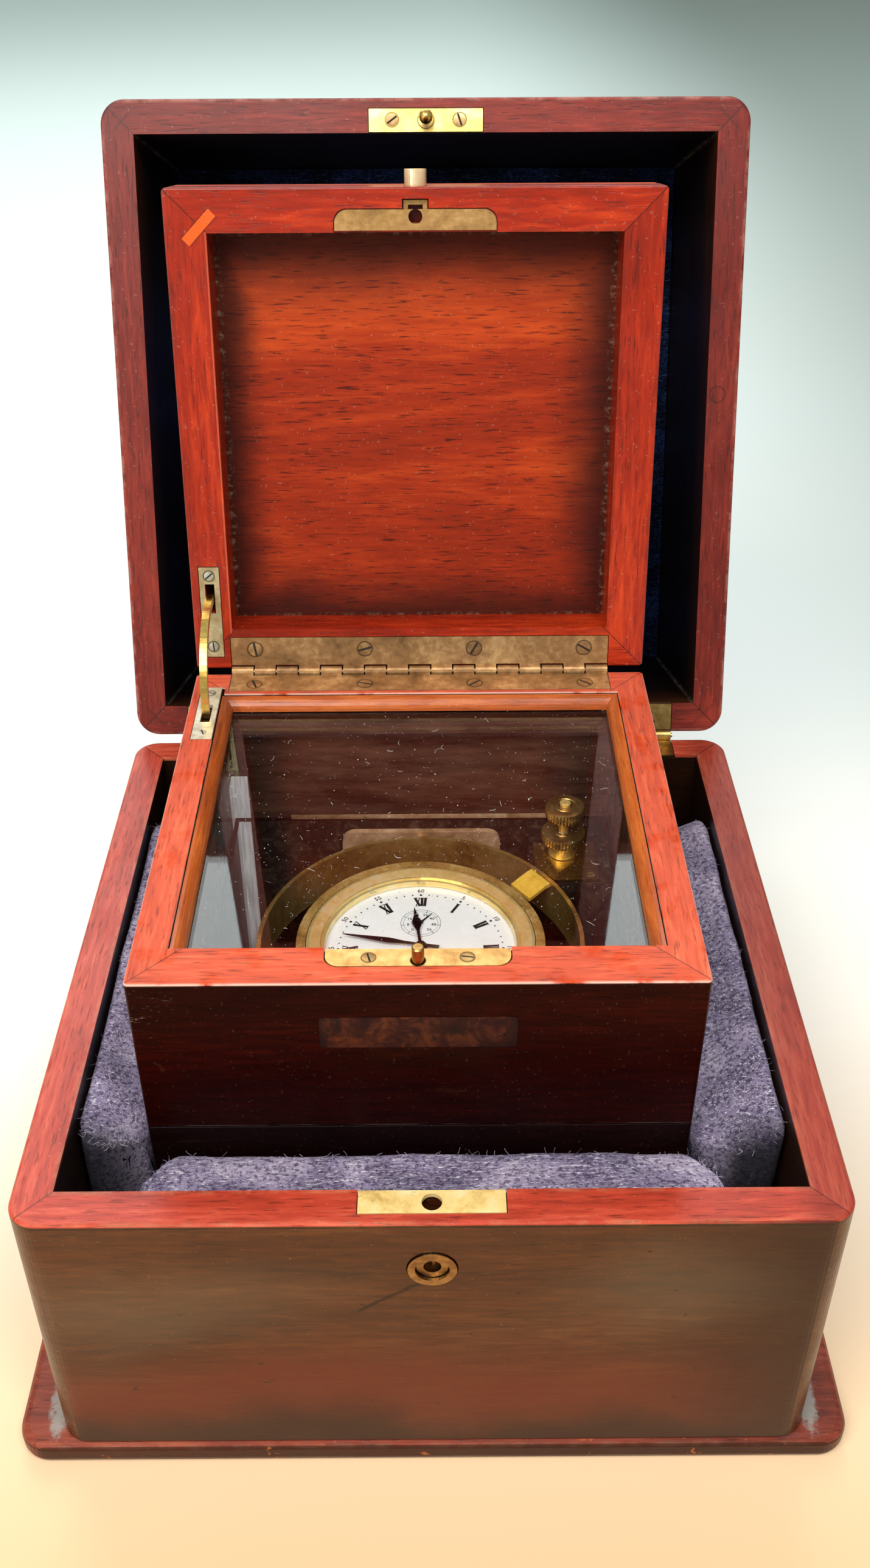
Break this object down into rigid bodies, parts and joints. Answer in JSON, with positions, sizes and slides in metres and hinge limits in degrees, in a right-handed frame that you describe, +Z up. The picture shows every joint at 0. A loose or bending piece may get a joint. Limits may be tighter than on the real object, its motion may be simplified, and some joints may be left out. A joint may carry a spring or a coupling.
{
  "type": "boxed marine chronometer",
  "caption": "Gimballed chronometer in a glazed three-tier mahogany box, carried in a wool-padded hinged mahogany case.",
  "frame": {"origin": "centre of the base board's underside", "axes": "+Z up, -Y towards the front of the case (its lock), +X to the right seen from the front"},
  "size_m": [0.27, 0.4274, 0.3478],
  "materials": {
    "case_wood": "satin varnished mahogany",
    "rim_wood": "satin varnished red mahogany",
    "box_wood": "french-polished mahogany",
    "panel_wood": "satin mahogany",
    "wool_felt": "worn lavender-grey wool",
    "navy_felt": "navy felt",
    "aged_brass": "tarnished",
    "bright_brass": "lacquered",
    "blued_steel": "blued",
    "window_glass": "polished",
    "enamel": "white vitreous enamel"
  },
  "bodies": {
    "case": {"base_board": "case_wood", "case_walls": "case_wood", "case_bottom_pad": "wool_felt", "case_front_pad": "wool_felt", "case_rear_pad": "wool_felt", "case_left_pad": "wool_felt", "case_right_pad": "wool_felt", "strike_plate": "aged_brass", "lock_escutcheon": "aged_brass", "case_hinge_leaf_left": "aged_brass", "case_hinge_leaf_right": "aged_brass", "case_hinge_pin_left": "aged_brass", "case_hinge_pin_right": "aged_brass"},
    "outer_lid": {"lid_walls": "rim_wood", "lid_top": "case_wood", "lid_lining": "navy_felt", "lid_catch_plate": "aged_brass", "lid_catch_stud": "bright_brass", "lid_hinge_leaf_left": "aged_brass", "lid_hinge_leaf_right": "aged_brass"},
    "lock_barrel": {"lock_barrel": "aged_brass"},
    "lock_bolt": {"lock_bolt": "aged_brass"},
    "inner_box": {"lower_tier_walls": "box_wood", "lower_tier_bottom": "box_wood", "gimbal_bearing_front": "aged_brass", "gimbal_bearing_rear": "aged_brass", "tier_hinge_lower_leaf": "aged_brass", "lock_corner_plate": "aged_brass", "lock_post": "aged_brass", "lock_cap": "aged_brass"},
    "lock_arm": {"lock_arm": "bright_brass"},
    "lock_nut": {"lock_nut": "aged_brass"},
    "middle_tier": {"tier_hinge_upper_leaf": "aged_brass", "middle_tier_frame": "box_wood", "glazing_bead": "box_wood", "glass_pane": "window_glass", "stud_plate": "aged_brass", "catch_stud": "aged_brass", "stay_rim_plate": "aged_brass", "piano_hinge_lower_leaf": "aged_brass", "piano_hinge_pin": "aged_brass"},
    "inner_lid": {"piano_hinge_upper_leaf": "aged_brass", "inner_lid_frame": "box_wood", "inner_lid_panel": "panel_wood", "hole_plate": "aged_brass", "stay_lid_plate": "aged_brass"},
    "push_button": {"push_button": "bright_brass", "latch_slide": "aged_brass"},
    "stay_arc": {"stay_arc": "bright_brass"},
    "gimbal_ring": {"gimbal_ring": "bright_brass", "ring_bridge": "bright_brass"},
    "bowl": {"bowl": "aged_brass", "bezel": "bright_brass", "crystal": "window_glass", "dial": "enamel", "movement": "aged_brass"},
    "hour_hand": {"hour_hand": "blued_steel"},
    "minute_hand": {"minute_hand": "blued_steel"},
    "seconds_hand": {"seconds_hand": "blued_steel"},
    "reserve_hand": {"reserve_hand": "blued_steel"}
  },
  "joints": [
    {"name": "outer_lid_hinge", "type": "hinge", "parent": "case", "child": "outer_lid", "pos_m": [0, 0.1215, 0.121], "axis": [-1, 0, 0], "range_deg": [-40, 0]},
    {"name": "lock_turn", "type": "hinge", "parent": "case", "child": "lock_barrel", "pos_m": [0, -0.115, 0.1], "axis": [0, 1, 0], "range_deg": [-90, 0]},
    {"name": "bolt_slide", "type": "slide", "parent": "case", "child": "lock_bolt", "axis": [1, 0, 0], "range_m": [-0.0014, 0]},
    {"name": "box_lift", "type": "slide", "parent": "case", "child": "inner_box", "axis": [0, 0, 1], "range_m": [0, 0.17]},
    {"name": "gimbal_lock_turn", "type": "hinge", "parent": "inner_box", "child": "lock_arm", "pos_m": [0.049, 0.0465, 0.118], "axis": [0, 0, 1], "range_deg": [-30, 25]},
    {"name": "lock_nut_turn", "type": "hinge", "parent": "inner_box", "child": "lock_nut", "pos_m": [0.049, 0.0465, 0.1276], "axis": [0, 0, 1], "range_deg": [0, 270]},
    {"name": "tier_hinge", "type": "hinge", "parent": "inner_box", "child": "middle_tier", "pos_m": [-0.0035, 0.0833, 0.11715], "axis": [-1, 0, 0], "range_deg": [0, 38]},
    {"name": "inner_lid_hinge", "type": "hinge", "parent": "middle_tier", "child": "inner_lid", "pos_m": [-0.0035, 0.0833, 0.176], "axis": [-1, 0, 0], "range_deg": [-101.2, 0]},
    {"name": "button_press", "type": "slide", "parent": "inner_lid", "child": "push_button", "axis": [0, -0.1942, -0.981], "range_m": [0, 0.0012], "stiffness_N_per_m": 150},
    {"name": "stay_swing", "type": "hinge", "parent": "middle_tier", "child": "stay_arc", "pos_m": [-0.0788, 0.0833, 0.176], "axis": [-1, 0, 0], "range_deg": [-75.3, 0]},
    {"name": "gimbal_roll", "type": "hinge", "parent": "inner_box", "child": "gimbal_ring", "pos_m": [-0.0035, 0, 0.109], "axis": [0, 1, 0], "range_deg": [-25, 25]},
    {"name": "gimbal_pitch", "type": "hinge", "parent": "gimbal_ring", "child": "bowl", "pos_m": [-0.0035, 0, 0.109], "axis": [1, 0, 0], "range_deg": [-25, 25]},
    {"name": "seconds_turn", "type": "hinge", "parent": "bowl", "child": "seconds_hand", "pos_m": [-0.0035, -0.0134, 0.1145], "axis": [0, 0, -1], "continuous": true},
    {"name": "minute_turn", "type": "hinge", "parent": "bowl", "child": "minute_hand", "pos_m": [-0.0035, 0, 0.116], "axis": [0, 0, -1], "continuous": true},
    {"name": "hour_turn", "type": "hinge", "parent": "bowl", "child": "hour_hand", "pos_m": [-0.0035, 0, 0.1152], "axis": [0, 0, -1], "continuous": true},
    {"name": "reserve_turn", "type": "hinge", "parent": "bowl", "child": "reserve_hand", "pos_m": [-0.0035, 0.0134, 0.1145], "axis": [0, 0, -1], "range_deg": [-160, 90]}
  ],
  "couplings": [
    {"joint": "lock_turn", "follows": "bolt_slide", "rad_per_m": 1121},
    {"joint": "stay_swing", "follows": "inner_lid_hinge", "ratio": 0.7431}
  ]
}
